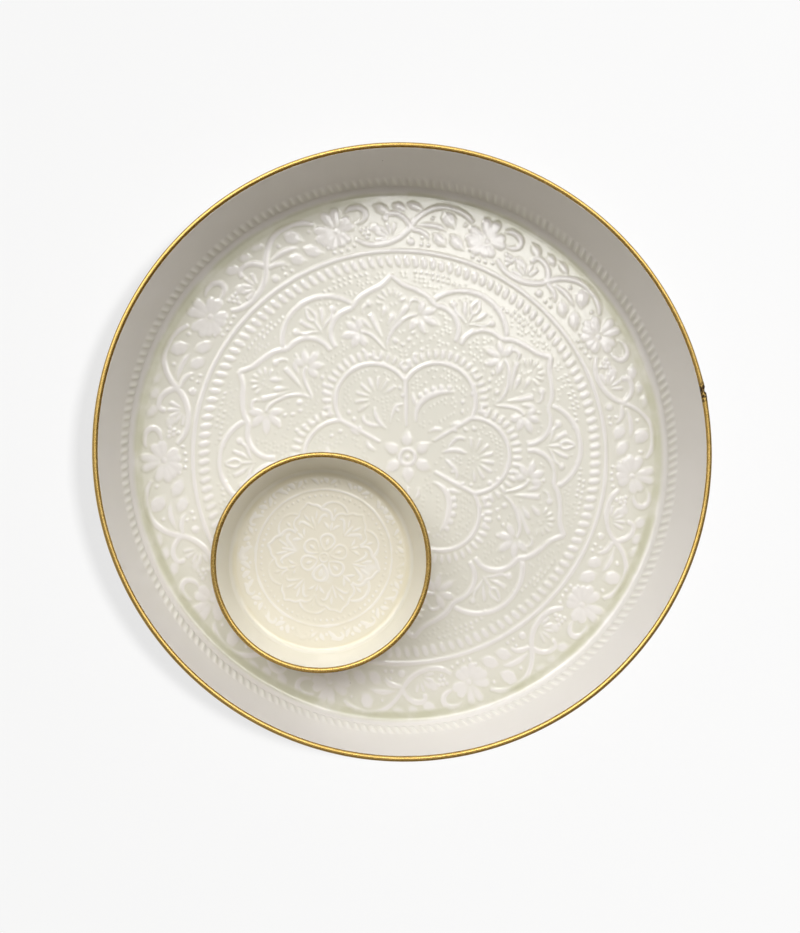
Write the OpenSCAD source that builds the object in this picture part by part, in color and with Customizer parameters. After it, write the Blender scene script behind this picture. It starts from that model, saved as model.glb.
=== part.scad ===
// Round serving tray with a matching dip dish, in enamelled pressed steel with gilded rims.
// The tray stands on the ground plane, centred on the vertical axis. The dish stands on the raised
// ornament of the tray's floor.

/* [Tray] */
// Diameter over the gilded rim
tray_d = 400; // [320:1:520]
// Height from the table to the top of the rim
tray_h = 52; // [40:1:80]
// Lean of the wall from upright, in degrees
tray_flare = 13.5; // [6:0.5:22]
// Radius of the cove between floor and wall
tray_cove_r = 6; // [4:0.5:16]

/* [Dish] */
// Diameter over the gilded rim
dish_d = 144; // [120:1:180]
// Height from its foot to the top of the rim
dish_h = 30; // [22:1:42]
// Lean of the wall from upright, in degrees
dish_flare = 14; // [6:0.5:22]
// Radius of the cove between floor and wall
dish_cove_r = 5; // [4:0.5:12]
// Room between the dish's rim and the tray's wall
dish_room = 26.8; // [10:0.1:60]
// Direction in which the dish stands from the middle of the tray, in degrees
dish_bearing = 233.5; // [0:0.5:359.5]
// Turn of the dish about its own axis, in degrees
dish_turn = 17; // [0:1:359]

/* [Sheet and coats] */
// Thickness of the steel sheet
sheet_t = 0.8; // [0.6:0.05:1.2]
// Thickness of each enamel coat
enamel_t = 0.5; // [0.3:0.05:0.8]

/* [Rim] */
// Diameter of the wire in the curled edge
wire_d = 1.3; // [0.8:0.1:3]
// Play between the wire and the curl
wire_play = 0.05; // [0.02:0.01:0.2]
// Width of the slit where the curl stops short of the wall
curl_slit = 0.25; // [0.1:0.05:0.5]
// Thickness of the gilded edging
band_t = 0.4; // [0.3:0.05:0.6]

/* [Tray ornament] */
// Height of the raised ornament over the floor
relief_h = 0.7; // [0.4:0.1:2.5]
// Width of the raised lines
line_w = 3.4; // [2:0.1:5]
// Width of the smooth moat between the ornament and the cove
moat_w = 7; // [2:0.5:10]
// Width of the vine border
border_w = 30; // [20:1:40]
// Repeats of the vine
vine_count = 10; // [6:1:16]
// Beads in the ring inside the border line
bead_count = 138; // [60:2:160]
// Length of a bead
bead_l = 8.8; // [5:0.1:14]
// Width of a bead
bead_w = 4; // [2:0.1:4.5]
// Slant of a bead, in degrees
bead_slant = 12; // [0:1:30]
// Gap between the beads and the border line
bead_gap = 1.8; // [0.5:0.1:4]
// Gap between the beads and the figure inside them
figure_gap = 6.4; // [3:0.1:12]

/* [Dish ornament] */
// Height of the raised ornament over the floor
dish_relief_h = 0.3; // [0.2:0.1:1.2]
// Width of the raised lines
dish_line_w = 1.8; // [1:0.1:3]
// Width of the smooth moat between the ornament and the cove
dish_moat_w = 4.5; // [1:0.5:8]
// Width of the border
dish_border_w = 11; // [6:0.5:18]
// Repeats of the vine
dish_vine_count = 8; // [5:1:12]
// Gap between the border line and the figure
dish_figure_gap = 6; // [2:0.5:10]

/* [Hidden] */
$fn = 96;

// Radii of the rim, from the wire outward, and the thickness of the coated sheet.
bore_r = wire_d / 2 + wire_play;
curl_r = bore_r + sheet_t;
rim_r = curl_r + band_t;
pan_t = sheet_t + 2 * enamel_t;
// Depths of the three layers, measured outward from the inner face.
core_in = enamel_t;
core_out = enamel_t + sheet_t;
// How far a raised line is rooted in the enamel coat.
root = enamel_t * 0.8;
// Direction, about the rim's centre, of the slit in the curl.
slit_at = -110;
// How far the profile runs past the rim before it is trimmed.
overrun = 12;

// A pan is [diameter, height, flare, cove radius].
tray = [tray_d, tray_h, tray_flare, tray_cove_r];
dish = [dish_d, dish_h, dish_flare, dish_cove_r];

// Centre of the rim's round section.
function rim_at(p) = [p[0] / 2 - rim_r, p[1] - rim_r];
// The wall's own directions: up its slope, and square to it, outward.
function up_wall(p) = [sin(p[2]), cos(p[2])];
function off_wall(p) = [cos(p[2]), -sin(p[2])];
// A point on the wall at a depth from the inner face, level with the rim's centre.
function wall_top(p, depth) = rim_at(p) - (enamel_t + curl_r - depth) * off_wall(p);
// Radius of the flat floor, which is where the cove's centre stands too.
function floor_r(p) =
    let (c = wall_top(p, -p[3]))
    c[0] - (c[1] - pan_t - p[3]) * tan(p[2]);
function cove_at(p) = [floor_r(p), pan_t + p[3]];
// Where the cove runs into the wall.
function wall_foot(p, depth) = cove_at(p) + (p[3] + depth) * off_wall(p);
// Radius of the inner face at a height on the wall.
function wall_r(p, z) = wall_top(p, 0)[0] - (wall_top(p, 0)[1] - z) * tan(p[2]);

// The dish stands on the ornament's flat crests, away from the wall by its room.
seat_z = pan_t + relief_h;
dish_reach = wall_r(tray, seat_z + dish_h) - dish_room - dish_d / 2;

// Radii of the tray's ornament, from the floor's edge inward.
border_out = floor_r(tray) - moat_w;
border_line = border_out - border_w;
bead_at = border_line - line_w / 2 - bead_gap - bead_l / 2;
figure_r = bead_at - bead_l / 2 - figure_gap;
dish_border_out = floor_r(dish) - dish_moat_w;
dish_border_line = dish_border_out - dish_border_w;
dish_figure_r = dish_border_line - dish_line_w / 2 - dish_figure_gap;

function polar(r, a) = [r * cos(a), r * sin(a)];
// Centre of the circle through three points.
function circle_through(a, b, c) =
    let (d = 2 * (a[0] * (b[1] - c[1]) + b[0] * (c[1] - a[1]) + c[0] * (a[1] - b[1])))
    [
        ((a * a) * (b[1] - c[1]) + (b * b) * (c[1] - a[1]) + (c * c) * (a[1] - b[1])) / d,
        ((a * a) * (c[0] - b[0]) + (b * b) * (a[0] - c[0]) + (c * c) * (b[0] - a[0])) / d
    ];

// Everything on the hollow side of the face at a depth, up past the rim.
module hollow(p, depth) {
    floor_z = pan_t - depth;
    top = wall_top(p, depth) + overrun * up_wall(p);
    polygon([[0, floor_z], [floor_r(p), floor_z], wall_foot(p, depth), top, [0, top[1]]]);
    translate(cove_at(p)) circle(p[3] + depth);
}

// Everything below the square cut that ends the wall at the rim's centre.
module below_rim(p) {
    reach = p[0];
    at = rim_at(p);
    polygon([
        at + reach * off_wall(p), at - reach * off_wall(p),
        at - reach * off_wall(p) - reach * up_wall(p), at + reach * off_wall(p) - reach * up_wall(p)
    ]);
}

// Section of one layer of the wall and floor, between two depths.
module layer(p, from, to) {
    intersection() {
        difference() {
            hollow(p, to);
            hollow(p, from);
        }
        below_rim(p);
    }
}

module rim_disc(p, r) {
    translate(rim_at(p)) circle(r);
}

// Section of the steel: the layer, ending in a curl that stops short of the wall.
module pan_section(p) {
    layer(p, core_in, core_out);
    difference() {
        rim_disc(p, curl_r);
        rim_disc(p, bore_r);
        translate(rim_at(p)) rotate(slit_at) translate([0, -curl_slit / 2]) square([rim_r, curl_slit]);
    }
}

// Section of the edging: a sleeve over the curl, open where the wall comes up into it. It is bent from
// narrow flats, whose corners lie on the rim's outer circle and whose middles lie on the curl.
band_flats = 32;

module flat_sided(p, r) {
    translate(rim_at(p)) polygon([for (i = [0:band_flats - 1]) polar(r, 360 * i / band_flats)]);
}

module band_section(p) {
    difference() {
        flat_sided(p, rim_r);
        flat_sided(p, curl_r / cos(180 / band_flats));
        intersection() {
            hollow(p, core_out);
            below_rim(p);
        }
    }
}

// Section of the outer coat, which stops under the edging.
module outer_section(p) {
    difference() {
        layer(p, core_out, pan_t);
        rim_disc(p, rim_r);
    }
}

// The round ends of a raised line are a little wider than the line, as those of struck lines are.
end_swell = 1.06;

// A raised ring, and a round-ended bar lying along X about its middle.
module ring(r, w) {
    difference() {
        circle(r + w / 2);
        circle(r - w / 2);
    }
}

module bar(l, w) {
    run = l - w * end_swell;
    square([run, w], center = true);
    for (side = [-1, 1]) translate([side * run / 2, 0]) circle(w / 2 * end_swell, $fn = 24);
}

// A round-ended raised line from point a, through b, to c.
module stroke(a, b, c, w) {
    o = circle_through(a, b, c);
    r = norm(a - o);
    from = atan2(a[1] - o[1], a[0] - o[0]);
    through = atan2(b[1] - o[1], b[0] - o[0]) - from;
    whole = atan2(c[1] - o[1], c[0] - o[0]) - from;
    turn = through - 360 * floor(through / 360) < whole - 360 * floor(whole / 360)
        ? whole - 360 * floor(whole / 360)
        : whole - 360 * floor(whole / 360) - 360;
    translate(o) intersection() {
        ring(r, w);
        polygon(concat([[0, 0]], [for (i = [0:4]) polar(2 * r, from + turn * i / 4)]));
    }
    for (end = [a, c]) translate(end) circle(w / 2 * end_swell, $fn = 24);
}

// A pointed leaf lying along X from the origin.
module leaf(l, w) {
    r = (l * l + w * w) / (4 * w);
    intersection() {
        translate([l / 2, w / 2 - r]) circle(r);
        translate([l / 2, r - w / 2]) circle(r);
    }
}

module around(count, first = 0) {
    for (i = [0:count - 1]) rotate(first + 360 * i / count) children();
}

// A sixth of the figure in the middle, drawn on the X axis at a unit reach and scaled to fit.
// Its round lobe stands on the axis, and its pointed petal half a step beside it.
lobe_at = 0.36;
lobe_r = 0.21;
cusp_r = 0.41;
cusp_at = 30;
arch_at = 0.755;
arch_r = 0.255;
arch_half = 62.8;
petal_foot = [0.705, 0];
petal_notch = [0.865, 12];
petal_peak = [0.985, 30];

module mirrored() {
    children();
    mirror([0, 1]) children();
}

// The boss in the middle, with the petals round it.
module boss(r, w) {
    ring(0.045 * r, w * 0.7);
    around(6, cusp_at) translate([0.075 * r, 0]) leaf(0.08 * r, 0.055 * r);
}

// Round lobes, each with the stem beside it, closing on cusps between them.
module lobes(r, w) {
    around(6) {
        mirrored()
            stroke(polar(cusp_r * r, cusp_at), [(lobe_at + lobe_r * cos(45)) * r, lobe_r * sin(45) * r],
                [(lobe_at + lobe_r) * r, 0], w);
    }
    around(6, cusp_at) translate([0.3 * r, 0]) bar(0.24 * r, w);
}

// Pointed petals, drawn in at a notch on each side.
module petals(r, w) {
    around(6) mirrored() {
        foot = polar(petal_foot[0] * r, petal_foot[1]);
        notch = polar(petal_notch[0] * r, petal_notch[1]);
        peak = polar(petal_peak[0] * r, petal_peak[1]);
        stroke(foot, polar(0.83 * r, 4.5), notch, w);
        stroke(notch, polar(0.945 * r, 19), peak, w);
    }
}

// Low arches over the petals' feet, each with a bud under it.
module arches(r, w) {
    around(6) {
        translate([arch_at * r, 0]) stroke(polar(arch_r * r, -arch_half), [arch_r * r, 0],
            polar(arch_r * r, arch_half), w);
        translate([0.87 * r, 0]) leaf(0.1 * r, 0.05 * r);
        for (side = [-1, 1]) translate([0.895 * r, side * 0.11 * r]) circle(0.025 * r, $fn = 24);
    }
}

// Spray inside a pointed petal: a stem, two curling side shoots and a fan at its head.
module sprays(r, w) {
    around(6, cusp_at) {
        translate([0.64 * r, 0]) bar(0.2 * r, w * 0.8);
        for (side = [-1, 1]) {
            stroke([0.56 * r, side * 0.03 * r], [0.645 * r, side * 0.09 * r], [0.675 * r, side * 0.19 * r],
                w * 0.8);
            translate([0.72 * r, side * 0.17 * r]) circle(0.03 * r, $fn = 24);
            translate([0.75 * r, side * 0.07 * r]) circle(0.022 * r, $fn = 24);
        }
        for (a = [-60:30:60])
            translate([0.8 * r, 0]) rotate(a) translate([0.03 * r, 0]) leaf(0.07 * r, 0.025 * r);
    }
}

// Row of small beads that follows the outside of each round lobe.
lobe_beads = 15;
lobe_bead_half = 62;

module lobe_beading(r) {
    around(6) translate([lobe_at * r, 0])
        for (i = [0:lobe_beads - 1])
            rotate(lobe_bead_half * (2 * i / (lobe_beads - 1) - 1))
                translate([(lobe_r + 0.065) * r, 0]) bar(0.07 * r, 0.028 * r);
}

// Running vine between two radii: a wave with a leaf, a bud and a daisy in each turn.
module vine(inner, outer, count, w) {
    step = 360 / count;
    span = outer - inner;
    around(count) {
        stroke(polar(inner + 0.62 * span, 0), polar(outer - w, 0.17 * step),
            polar(inner + 0.7 * span, 0.34 * step), w);
        stroke(polar(inner + 0.7 * span, 0.34 * step), polar(inner + 0.34 * span, 0.42 * step),
            polar(inner + 0.22 * span, 0.56 * step), w);
        translate(polar(inner + 0.22 * span, 0.3 * step)) circle(0.9 * w, $fn = 24);
        for (a = [0:60:300])
            translate(polar(inner + 0.6 * span, 0.72 * step) + polar(1.5 * w, a)) circle(0.7 * w, $fn = 24);
        rotate(0.17 * step) translate([inner + 0.42 * span, 0]) bar(0.4 * span, w);
    }
}

module tray_ornament() {
    vine(border_line + line_w, border_out, vine_count, line_w * 0.85);
    ring(border_line, line_w);
    around(bead_count) translate([bead_at, 0]) rotate(bead_slant) bar(bead_l, bead_w);
    boss(figure_r, line_w);
    lobes(figure_r, line_w);
    lobe_beading(figure_r);
    petals(figure_r, line_w);
    arches(figure_r, line_w * 0.85);
    sprays(figure_r, line_w);
}

module dish_ornament() {
    vine(dish_border_line + dish_line_w, dish_border_out, dish_vine_count, dish_line_w * 0.7);
    ring(dish_border_line, dish_line_w);
    boss(dish_figure_r, dish_line_w);
    lobes(dish_figure_r, dish_line_w);
    petals(dish_figure_r, dish_line_w);
}

// Raised ornament on a pan's floor, rooted in the coat.
module on_floor(height) {
    translate([0, 0, pan_t - root]) linear_extrude(root + height) children();
}

module on_tray() {
    at = polar(dish_reach, dish_bearing);
    translate([at[0], at[1], seat_z]) rotate(dish_turn) children();
}

module tray_pan() {
    color("dimgray") rotate_extrude() pan_section(tray);
}

module tray_rim_wire() {
    color("gray") rotate_extrude() rim_disc(tray, wire_d / 2);
}

module tray_inner_enamel() {
    color("ivory") {
        rotate_extrude() layer(tray, 0, core_in);
        on_floor(relief_h) tray_ornament();
    }
}

module tray_outer_enamel() {
    color("ivory") rotate_extrude() outer_section(tray);
}

module tray_rim_band() {
    color("goldenrod") rotate_extrude() band_section(tray);
}

module dish_pan() {
    color("dimgray") on_tray() rotate_extrude() pan_section(dish);
}

module dish_rim_wire() {
    color("gray") on_tray() rotate_extrude() rim_disc(dish, wire_d / 2);
}

module dish_inner_enamel() {
    color("ivory") on_tray() {
        rotate_extrude() layer(dish, 0, core_in);
        on_floor(dish_relief_h) dish_ornament();
    }
}

module dish_outer_enamel() {
    color("ivory") on_tray() rotate_extrude() outer_section(dish);
}

module dish_rim_band() {
    color("goldenrod") on_tray() rotate_extrude() band_section(dish);
}

tray_pan();
tray_rim_wire();
tray_inner_enamel();
tray_outer_enamel();
tray_rim_band();
dish_pan();
dish_rim_wire();
dish_inner_enamel();
dish_outer_enamel();
dish_rim_band();
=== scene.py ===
# %% [markdown]
# # A round serving tray with its dip dish
#
# The real tray is a pressed steel pan under a coat of glassy ivory enamel. Its floor is embossed with a
# flower, a row of beads and a running vine, its wall has a belt of short flutes, and its rim is gilded.
# A small dish of the same ware stands loose on the floor. The measured solids are loaded first. They fix
# every size, and each piece made below goes where its solid is.

# %% Load the measured solids
from math import acos, atan2, cos, hypot, pi, radians, sin, tan

import bpy
import numpy as np
from mathutils.kdtree import KDTree
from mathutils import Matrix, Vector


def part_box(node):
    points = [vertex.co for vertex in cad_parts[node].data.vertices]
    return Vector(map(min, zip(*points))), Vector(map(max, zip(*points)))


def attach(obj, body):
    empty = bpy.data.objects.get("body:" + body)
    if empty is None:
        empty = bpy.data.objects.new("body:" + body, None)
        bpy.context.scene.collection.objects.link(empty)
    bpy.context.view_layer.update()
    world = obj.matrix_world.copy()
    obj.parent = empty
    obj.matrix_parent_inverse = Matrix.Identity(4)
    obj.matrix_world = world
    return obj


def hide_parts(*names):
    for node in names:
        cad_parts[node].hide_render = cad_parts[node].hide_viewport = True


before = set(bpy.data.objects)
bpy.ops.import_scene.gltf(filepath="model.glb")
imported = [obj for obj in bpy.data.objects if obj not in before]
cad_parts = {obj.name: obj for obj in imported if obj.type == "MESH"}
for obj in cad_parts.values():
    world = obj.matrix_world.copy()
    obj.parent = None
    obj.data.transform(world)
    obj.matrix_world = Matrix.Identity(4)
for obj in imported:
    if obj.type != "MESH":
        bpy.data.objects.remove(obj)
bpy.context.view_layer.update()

MM = 0.001
print("solids:", sorted(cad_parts))

# %% [markdown]
# ## Camera
#
# The set is seen from almost straight above. A camera could be aimed with a constraint, but its place and
# its turn were worked out from the two rims and the floor's edge, so they are simply set.

# %% Camera
CAMERA_PLACE = (-0.0575, -0.0628, 0.7285)
CAMERA_TURN = (4.14, -4.37, 0)
LENS = 40.99
SENSOR = 36

bpy.ops.object.camera_add(location=CAMERA_PLACE, rotation=[radians(a) for a in CAMERA_TURN])
camera = bpy.context.object
camera.data.lens = LENS
camera.data.sensor_width = SENSOR
bpy.context.scene.camera = camera
print("camera at", tuple(camera.location))

# %% [markdown]
# ## Sizes of the two pans
#
# Both pans have the same section: a flat floor, a round cove, a leaning wall and a beaded rim. Every size
# could be typed in, but those of the rims are read from the loaded solids, so the pieces made here stay
# with them. The rest of the section follows from a few more sizes, in millimetres and degrees.

# %% Sizes of the two pans
COAT = 0.5
STEEL = 0.8
PAN = STEEL + 2 * COAT
CURL_R = 1.5
BEAD_R = 1.9


class Pan:
    """Section of one pan in millimetres, from the box of its rim and the node that gives its foot."""

    def __init__(self, rim, foot, lean, cove):
        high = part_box(rim)[1]
        low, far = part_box(foot)
        self.centre = ((low.x + far.x) / 2 / MM, (low.y + far.y) / 2 / MM)
        self.base = low.z / MM
        self.radius = high.x / MM - self.centre[0]
        self.top = high.z / MM
        self.lean = radians(lean)
        self.cove = cove
        self.rim = (self.radius - BEAD_R, self.top - BEAD_R)
        self.ground = self.base + PAN
        start = self.wall_top(-cove)
        self.floor_r = start[0] - (start[1] - self.ground - cove) * tan(self.lean)

    def wall_top(self, depth):
        """Point of the wall at a depth from its inner face, level with the middle of the rim."""
        away = COAT + CURL_R - depth
        return (self.rim[0] - away * cos(self.lean), self.rim[1] + away * sin(self.lean))

    def cove_point(self, depth, turn):
        """Point of the cove at a depth, turned up from the floor by an angle."""
        r = self.cove + depth
        return (self.floor_r + r * sin(turn), self.ground + self.cove - r * cos(turn))

    def offsets(self, points):
        """How far points lie from the pan's axis, along X and along Y."""
        return points[:, 0] / MM - self.centre[0], points[:, 1] / MM - self.centre[1]


tray = Pan("tray_rim_band", "tray_outer_enamel", lean=13.5, cove=6)
dish = Pan("dish_rim_band", "dish_outer_enamel", lean=14, cove=5)
for label, pan in (("tray", tray), ("dish", dish)):
    print(label, "centre", np.round(pan.centre, 2), "floor radius", round(pan.floor_r, 2),
          "ground", round(pan.ground, 2))

# %% [markdown]
# ## Helpers for modelling by hand
#
# Operators act on whatever is selected, so every step begins by selecting just what it works on. A part is
# drawn where that is easiest, and its place, turn and scale then go into its mesh. Points that follow a
# formula could be moved one by one, but reading and writing them as rows of numbers is much faster.

# %% Helpers for modelling by hand
def select_only(*objects):
    """Selects these objects alone and makes the first one active."""
    if bpy.context.object and bpy.context.object.mode != "OBJECT":
        bpy.ops.object.mode_set(mode="OBJECT")
    bpy.ops.object.select_all(action="DESELECT")
    for obj in objects:
        obj.select_set(True)
    bpy.context.view_layer.objects.active = objects[0] if objects else None


def settle(obj):
    """Puts an object's place, turn and scale into its mesh."""
    select_only(obj)
    bpy.ops.object.transform_apply(location=True, rotation=True, scale=True)
    return obj


def shift_part(part, place, turn=0, size=1):
    """Moves, turns and sizes a finished drawing."""
    part.location = (place[0] * MM, place[1] * MM, 0)
    part.rotation_euler.z = radians(turn)
    part.scale = (size, size, 1)
    return settle(part)


def join(parts):
    """Joins several parts into the first."""
    select_only(*parts)
    if len(parts) > 1:
        bpy.ops.object.join()
    return parts[0]


def apply_modifier(obj, kind, **values):
    """Adds one modifier, sets its values and applies it."""
    select_only(obj)
    bpy.ops.object.modifier_add(type=kind)
    modifier = obj.modifiers[-1]
    for key, value in values.items():
        setattr(modifier, key, value)
    bpy.ops.object.modifier_apply(modifier=modifier.name)


def ring_of(part, count, first=0):
    """Repeats a part round the axis with an Array that turns about an empty."""
    part.rotation_euler.z = radians(first)
    settle(part)
    bpy.ops.object.empty_add(rotation=(0, 0, 2 * pi / count))
    pivot = bpy.context.object
    apply_modifier(part, "ARRAY", count=count, use_relative_offset=False, use_object_offset=True,
                   offset_object=pivot)
    bpy.data.objects.remove(pivot)
    return part


def places(obj):
    """The mesh's points as rows of x, y, z."""
    flat = np.empty(len(obj.data.vertices) * 3)
    obj.data.vertices.foreach_get("co", flat)
    return flat.reshape(-1, 3)


def place_points(obj, points):
    obj.data.vertices.foreach_set("co", points.ravel())
    obj.data.update()


def polar(r, angle):
    return (r * cos(radians(angle)), r * sin(radians(angle)))


print("modelling helpers ready")

# %% [markdown]
# ## The die
#
# The ornament of the real pan is struck: a steel sheet is pressed over a cut die, and the enamel rounds it
# off. Each line could be modelled on the floor itself, but pressing a sheet over a die gives the same soft
# roots where lines meet, so that is the way taken here. The die's raised lines are curves with a round
# bevel, thinner toward their ends, which are flattened to the height of the relief and made a mesh.

# %% Raised lines of the die
RELIEF = 0.5
BEVEL_STEPS = 2
CURVE_STEPS = 5


def ridges(lines, width, height=RELIEF):
    """Raised lines of one width. A line is points (x, y) or (x, y, share of the width)."""
    select_only()
    bpy.ops.curve.primitive_bezier_curve_add()
    bar = bpy.context.object
    curve = bar.data
    curve.bevel_depth = width / 2 * MM
    curve.bevel_resolution = BEVEL_STEPS
    curve.resolution_u = CURVE_STEPS
    curve.use_fill_caps = True
    curve.splines.clear()
    for line in lines:
        spline = curve.splines.new("BEZIER")
        spline.bezier_points.add(len(line) - 1)
        for knot, point in zip(spline.bezier_points, line):
            knot.co = (point[0] * MM, point[1] * MM, 0)
            knot.radius = point[2] if len(point) > 2 else 1
            knot.handle_left_type = "AUTO"
            knot.handle_right_type = "AUTO"
    bar.scale.z = 2 * height / width
    bpy.ops.object.convert(target="MESH")
    return settle(bpy.context.object)


def buds(spots, height=RELIEF):
    """Round buds: a sphere at each (x, y, radius), flattened to the relief's height."""
    made = []
    for x, y, r in spots:
        select_only()
        bpy.ops.mesh.primitive_uv_sphere_add(
            segments=12, ring_count=8, radius=r * MM, location=(x * MM, y * MM, 0))
        bud = bpy.context.object
        bud.scale.z = min(1, height / r)
        made.append(settle(bud))
    return join(made)


def hoop(r, width, height=RELIEF, sides=48):
    """A raised ring: a torus, flattened."""
    select_only()
    bpy.ops.mesh.primitive_torus_add(
        major_radius=r * MM, minor_radius=width / 2 * MM, major_segments=sides, minor_segments=10,
        location=(0, 0, 0))
    ring = bpy.context.object
    ring.scale.z = 2 * height / width
    return settle(ring)


print("raised lines are", RELIEF, "mm high")

# %% [markdown]
# ## Lines drawn from a rule
#
# Arcs, fans, lobed leaves and broad petals come back all over the ornament. Each could be drawn afresh
# where it stands, but a small function that returns its points keeps them alike. Most of them are rays:
# straight lines from a point, which swell and taper on the way.

# %% Lines drawn from a rule
FAN_WIDTHS = (0.4, 0.85, 0.75)
LEAF_RAY = ((0.12, 0.4), (0.42, 0.95), (0.68, 0.9), (1, 0.08))
LEAF_LOBES = 5
LEAF_SPREAD = 190
LEAF_TAPER = 0.22
PETAL_RAY = ((0.16, 0.5), (0.5, 0.95), (0.82, 1), (1, 0.55))
PETAL_PARTS = (-15, 15)


def arc(x, y, r, start, stop, steps):
    turns = np.linspace(start, stop, steps + 1)
    return [(x + r * cos(radians(a)), y + r * sin(radians(a))) for a in turns]


def ray(x, y, heading, stations):
    """A straight line from a point. A station is (distance, share of the width)."""
    line = []
    for far, width in stations:
        dx, dy = polar(far, heading)
        line.append((x + dx, y + dy, width))
    return line


def fan(x, y, near, far, start, stop, count):
    """Club-shaped petals that spread from a point."""
    stations = list(zip((near, (near + far) / 2, far), FAN_WIDTHS))
    return [ray(x, y, a, stations) for a in np.linspace(start, stop, count)]


def leaf(x, y, heading, size):
    """Pointed lobes of a leaf that spread from its foot, the middle one longest."""
    lines = []
    for share in np.linspace(-1, 1, LEAF_LOBES):
        reach = size * (1 - LEAF_TAPER * abs(share))
        stations = [(reach * far, width) for far, width in LEAF_RAY]
        lines.append(ray(x, y, heading + share * LEAF_SPREAD / 2, stations))
    return lines


def broad_petal(x, y, heading, size):
    """A petal with a wavy end: two round lobes that part from each other."""
    stations = [(size * far, width) for far, width in PETAL_RAY]
    return [ray(x, y, heading + part, stations) for part in PETAL_PARTS]


def flip(lines, side):
    """The same lines, or their mirror image across the X axis."""
    return [[(p[0], side * p[1], *p[2:]) for p in line] for line in lines]


def both(lines):
    """Lines together with their mirror image across the X axis."""
    return flip(lines, 1) + flip(lines, -1)


def pointed_petal(*halves):
    """Outline of a petal from the parts of one side, given as (degrees off its axis, radius)."""
    return both([[polar(r, a) for a, r in half] for half in halves])


print("rules for arcs, rays, fans, leaves and petals ready")

# %% [markdown]
# ## The flower in the middle
#
# Six round lobes, edged with short gadroons, spring from a boss with six petals. The lobes are filled in
# two ways in turn, with a daisy or with a crest. All six could be drawn, but one of each kind is enough,
# because an Array repeats it round the middle. On the real pan the flower is struck a few millimetres off
# the middle of the ring, so the finished flower is shifted by that much.

# %% The flower in the middle
LOBES = 6
LOBE_GAP = 360 / LOBES
LOBE_AT = 44.8
LOBE_R = 26.2
FLOWER_SHIFT = (3.4, -1.8)
FLOWER_TURN = 1.5
BOSS_PETAL = [(7.4, 0, 0.55), (10, 0, 0.95), (12.6, 0, 0.98), (16, 0, 0.6), (19.4, 0, 0.05)]
LOBE_STEM = [(21, 0, 0.75), (30, 0, 0.95), (44, 0, 1), (53, 0, 1.05)]
GADROON = ((LOBE_R + 2.8, 0.6), (LOBE_R + 6, 1), (LOBE_R + 9.2, 0.7))
GADROONS, GADROON_SPREAD = 18, 76
DAISY_STEMS = [
    [(24, 2.5, 0.5), (30, 4, 1), (36, 3.6, 1.1), (41, 1.5, 0.6)],
    [(28, 4.5, 0.5), (31, 9, 0.9), (36, 12.5, 1), (40.5, 11.5, 0.8)],
    [(26, -2, 0.5), (30.5, -6.5, 0.9), (34, -12, 1), (33, -16.5, 0.6)],
]
DAISY_BUDS = [
    (47, 18.5, 1.7), (41, 18, 1.6), (34, 17.5, 1.5), (31, -11, 1.4), (38, -19.5, 1.5), (43.5, -20.5, 1.4),
]
CREST_LINES = [
    [(24, 6, 0.5), (29, 9, 0.8), (34.5, 10, 1), (41, 8.6, 1.15), (47, 4.6, 1.2), (52, -0.6, 1),
     (55.5, -7.5, 0.5)],
    [(33, 10.5, 0.4), (36.5, 14.5, 0.9), (40.5, 18.5, 0.4)],
    [(22, -4.5, 0.5), (26, -7.5, 0.8), (28, -12, 0.5)],
    [(33, -15.5, 0.5), (36, -18, 0.8), (38.5, -20, 0.5)],
]
CREST_BUDS = [
    (41.6, 12.2, 2.2), (46, 10, 2.3), (50.2, 6.4, 2.3), (53.6, 2.2, 2.2), (56.4, -2.6, 2),
    (46, -18.5, 1.5), (52, -15.5, 1.4),
]

gadroon_turns = np.linspace(-GADROON_SPREAD, GADROON_SPREAD, GADROONS)
gadroons = [ray(LOBE_AT, 0, a, GADROON) for a in gadroon_turns]
daisy_petals = fan(45, -3, near=6, far=15.5, start=-85, stop=92, count=8)
daisy = join([ridges(daisy_petals, width=3.4), ridges(DAISY_STEMS, width=3), buds(DAISY_BUDS)])
crest = join([ridges(CREST_LINES, width=4.2), buds(CREST_BUDS)])
flower = join([
    hoop(5.4, width=3.0),
    buds([(0, 0, 1.7)]),
    ring_of(ridges([BOSS_PETAL], width=9.2), LOBES, LOBE_GAP / 2),
    ring_of(ridges([arc(LOBE_AT, 0, LOBE_R, start=-88.5, stop=88.5, steps=12)], width=3.3), LOBES),
    ring_of(ridges([LOBE_STEM], width=3.2), LOBES, LOBE_GAP / 2),
    ring_of(ridges(gadroons, width=3.5), LOBES),
    ring_of(daisy, LOBES // 2),
    ring_of(crest, LOBES // 2, LOBE_GAP),
])
shift_part(flower, FLOWER_SHIFT, FLOWER_TURN)
print("flower:", len(flower.data.polygons), "faces")

# %% [markdown]
# ## Pointed petals, arches and sprays
#
# Round the flower stand six pointed petals with drawn-in shoulders, and six arches over the gaps between
# them. Each petal holds a spray with two lobed leaves, and every other spray is the mirror image. Two
# sprays could be drawn, but one drawing serves for both when its Y is turned over. Rows of granules fill
# the corners beside the petals' points.

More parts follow.
